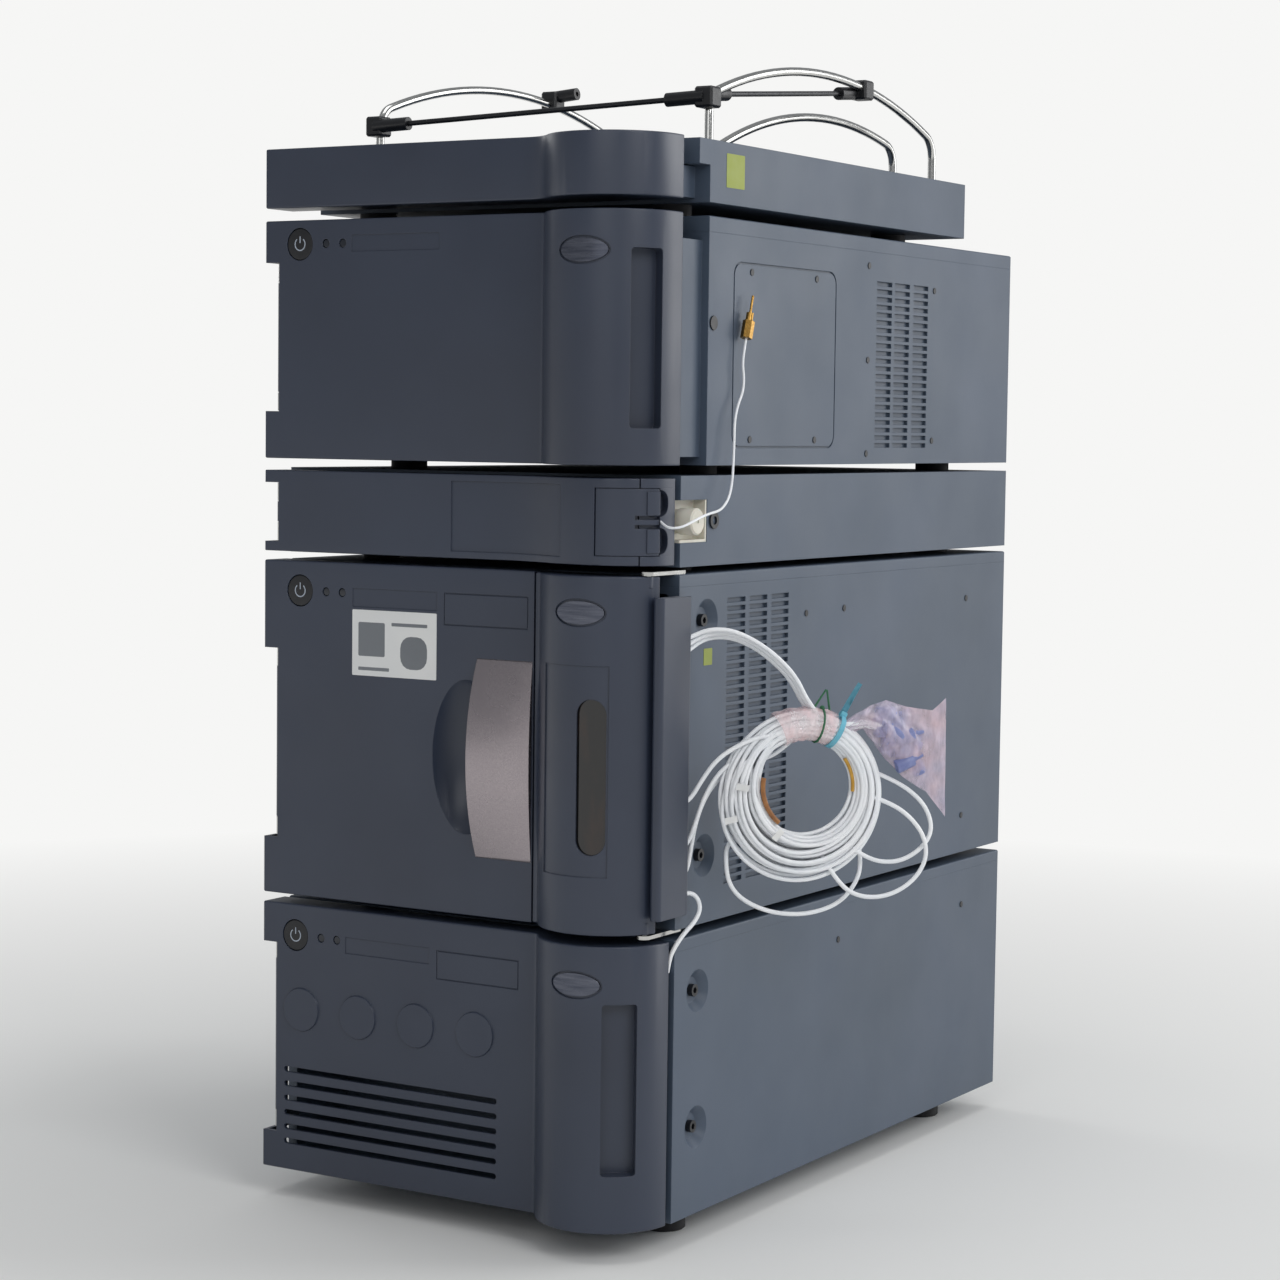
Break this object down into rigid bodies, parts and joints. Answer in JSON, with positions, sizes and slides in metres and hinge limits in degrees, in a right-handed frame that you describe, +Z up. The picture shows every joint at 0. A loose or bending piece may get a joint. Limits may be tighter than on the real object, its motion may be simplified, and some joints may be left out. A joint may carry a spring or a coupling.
{
  "type": "liquid chromatography system",
  "caption": "Stacked liquid chromatography system: pump, sampler, column oven and detector with hinged doors, solvent tray with guard rails, and coiled tubing.",
  "frame": {"origin": "centre of the stack under its bench feet", "axes": "+Z up the stack, -Y out of the doors, +X to the side that the tubing hangs on"},
  "size_m": [0.4855, 0.6095, 0.868],
  "materials": {
    "bench_rubber": "matt black rubber",
    "cabinet_paint": "fine-textured blue-grey powder coat",
    "door_plastic": "fine-textured dark blue-grey moulded plastic",
    "black_plastic": "satin black plastic",
    "indicator_lens": "smoked indicator lens",
    "badge_metal": "satin metal plate",
    "satin_silver": "warm satin silver paint",
    "smoked_window": "smoked clear window",
    "polished_steel": "polished stainless steel",
    "dark_steel": "black coated rod",
    "light_plastic": "off-white moulded plastic",
    "clear_glass": "clear glass barrel",
    "tubing": "milky translucent fluoropolymer tube",
    "tie_plastic": "light blue nylon tie",
    "bag_film": "thin pink translucent film",
    "fitting_brass": "turned brass"
  },
  "bodies": {
    "cabinet": {"bench_feet": "bench_rubber", "capillary": "tubing", "capillary_fitting": "fitting_brass", "column_trough": "light_plastic", "cross_rods": "dark_steel", "detector_chassis": "cabinet_paint", "detector_lid": "cabinet_paint", "drain_line": "tubing", "filter_bag": "bag_film", "flow_cell": "light_plastic", "hinge_brackets": "polished_steel", "hinge_pins": "polished_steel", "hoop_rails": "polished_steel", "injection_valve": "polished_steel", "knob_bracket": "light_plastic", "lamp_access_cover": "cabinet_paint", "loose_turns": "tubing", "lower_lines": "tubing", "oven_chassis": "cabinet_paint", "oven_end_cap": "door_plastic", "pump_chassis": "cabinet_paint", "pump_heads": "polished_steel", "pump_lid": "cabinet_paint", "rail_clamps": "black_plastic", "rear_inlets": "black_plastic", "sample_drawers": "light_plastic", "sampler_chassis": "cabinet_paint", "sampler_lid": "cabinet_paint", "separation_column": "polished_steel", "side_fixings": "black_plastic", "solvent_tray": "cabinet_paint", "solvent_valve_block": "light_plastic", "stacking_pads": "bench_rubber", "syringe_barrel": "clear_glass", "tray_front": "door_plastic", "tube_chase_cover": "door_plastic", "tube_tie": "tie_plastic", "tubing_coil": "tubing", "upper_lines": "tubing", "vial_plates": "light_plastic"},
    "pump_door": {"pump_door": "door_plastic", "pump_lights": "indicator_lens", "pump_badge": "badge_metal"},
    "sampler_door": {"sampler_door": "door_plastic", "sampler_handle": "satin_silver", "sampler_lights": "indicator_lens"},
    "side_door": {"side_door": "door_plastic", "side_door_window": "smoked_window", "sampler_badge": "badge_metal"},
    "oven_door": {"oven_door": "door_plastic"},
    "oven_latch": {"oven_latch": "door_plastic"},
    "detector_door": {"detector_door": "door_plastic", "detector_lights": "indicator_lens", "detector_badge": "badge_metal"},
    "pump_button": {"pump_button": "black_plastic"},
    "sampler_button": {"sampler_button": "black_plastic"},
    "detector_button": {"detector_button": "black_plastic"},
    "valve_knob": {"valve_knob": "light_plastic"},
    "syringe_plunger": {"syringe_plunger": "polished_steel"}
  },
  "joints": [
    {"name": "pump_door_hinge", "type": "hinge", "parent": "cabinet", "child": "pump_door", "pos_m": [-0.1645, -0.266, 0.1237], "axis": [0, 0, -1], "range_deg": [0, 110]},
    {"name": "sampler_door_hinge", "type": "hinge", "parent": "cabinet", "child": "sampler_door", "pos_m": [-0.1645, -0.266, 0.3582], "axis": [0, 0, -1], "range_deg": [0, 110]},
    {"name": "oven_door_hinge", "type": "hinge", "parent": "cabinet", "child": "oven_door", "pos_m": [-0.1645, -0.266, 0.521], "axis": [0, 0, -1], "range_deg": [0, 110]},
    {"name": "detector_door_hinge", "type": "hinge", "parent": "cabinet", "child": "detector_door", "pos_m": [-0.1645, -0.266, 0.6479], "axis": [0, 0, -1], "range_deg": [0, 110]},
    {"name": "side_door_hinge", "type": "hinge", "parent": "cabinet", "child": "side_door", "pos_m": [0.16283, -0.2761, 0.3582], "axis": [0, 0, 1], "range_deg": [0, 68]},
    {"name": "oven_latch_pivot", "type": "hinge", "parent": "oven_door", "child": "oven_latch", "pos_m": [0.13413, -0.29728, 0.521], "axis": [0, 0, -1], "range_deg": [0, 25]},
    {"name": "pump_button_press", "type": "slide", "parent": "pump_door", "child": "pump_button", "axis": [0, 1, 0], "range_m": [0, 0.0015], "stiffness_N_per_m": 400, "springref_m": -0.002},
    {"name": "sampler_button_press", "type": "slide", "parent": "sampler_door", "child": "sampler_button", "axis": [0, 1, 0], "range_m": [0, 0.0015], "stiffness_N_per_m": 400, "springref_m": -0.002},
    {"name": "detector_button_press", "type": "slide", "parent": "detector_door", "child": "detector_button", "axis": [0, 1, 0], "range_m": [0, 0.0015], "stiffness_N_per_m": 400, "springref_m": -0.002},
    {"name": "valve_knob_turn", "type": "hinge", "parent": "cabinet", "child": "valve_knob", "pos_m": [0.17, -0.237, 0.521], "axis": [1, 0, 0], "continuous": true},
    {"name": "syringe_stroke", "type": "slide", "parent": "cabinet", "child": "syringe_plunger", "axis": [0, 0, -1], "range_m": [0, 0.022]}
  ]
}
